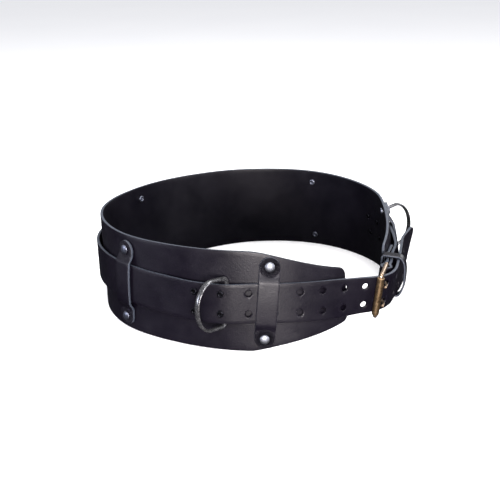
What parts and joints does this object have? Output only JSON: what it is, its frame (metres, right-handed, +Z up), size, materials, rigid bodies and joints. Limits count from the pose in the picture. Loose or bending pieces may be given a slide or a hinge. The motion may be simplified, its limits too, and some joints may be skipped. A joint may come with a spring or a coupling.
{
  "type": "duty belt",
  "caption": "Fastened black leather work belt: wide back panel with upright keepers, a strap with a roller buckle, and hinged steel rings for gear.",
  "frame": {"origin": "middle of the belt's box on the floor it stands on", "axes": "+Z up out of the waist, -Y through the front where the long run of holes is, +X towards the buckle and the wearer's left as seen in the picture"},
  "size_m": [0.354, 0.3383, 0.1],
  "materials": {
    "leather": "smooth black harness leather, satin, paler on the cut edges",
    "nickel": "domed nickelled rivet caps, lightly dulled",
    "ring_steel": "aged dark steel with bright rubs",
    "brass": "worn pale brass, polished",
    "roller_brass": "mottled antique brass",
    "blackened": "blackened tubular rivets"
  },
  "bodies": {
    "belt": {"back_panel": "leather", "buckle_frame": "brass", "buckle_roller": "roller_brass", "fold_rivet_lower": "blackened", "fold_rivet_upper": "blackened", "keeper_back_left": "leather", "keeper_back_right": "leather", "keeper_buckle_side": "leather", "keeper_front_left": "leather", "keeper_front_right": "leather", "keeper_loop": "leather", "prong_lower": "brass", "prong_upper": "brass", "rivet_back_left_bottom": "nickel", "rivet_back_left_top": "nickel", "rivet_back_right_bottom": "nickel", "rivet_back_right_top": "nickel", "rivet_buckle_side_bottom": "nickel", "rivet_buckle_side_top": "nickel", "rivet_front_left_bottom": "nickel", "rivet_front_left_top": "nickel", "rivet_front_right_bottom": "nickel", "rivet_front_right_top": "nickel", "small_rivet_left_far_lower": "blackened", "small_rivet_left_far_upper": "blackened", "small_rivet_left_near_lower": "blackened", "small_rivet_left_near_upper": "blackened", "small_rivet_right_far_lower": "blackened", "small_rivet_right_far_upper": "blackened", "small_rivet_right_near_lower": "blackened", "small_rivet_right_near_upper": "blackened", "strap": "leather"},
    "ring_left": {"d_ring_left": "ring_steel"},
    "ring_right": {"d_ring_right": "ring_steel"}
  },
  "joints": [
    {"name": "ring_left_swing", "type": "hinge", "parent": "belt", "child": "ring_left", "pos_m": [-0.03479, -0.14305, 0.05016], "axis": [0.0497, 0.0716, 0.9962], "range_deg": [-36, 110]},
    {"name": "ring_right_swing", "type": "hinge", "parent": "belt", "child": "ring_right", "pos_m": [0.14382, 0.05188, 0.05218], "axis": [-0.1492, -0.1008, 0.9837], "range_deg": [-50, 54]}
  ]
}
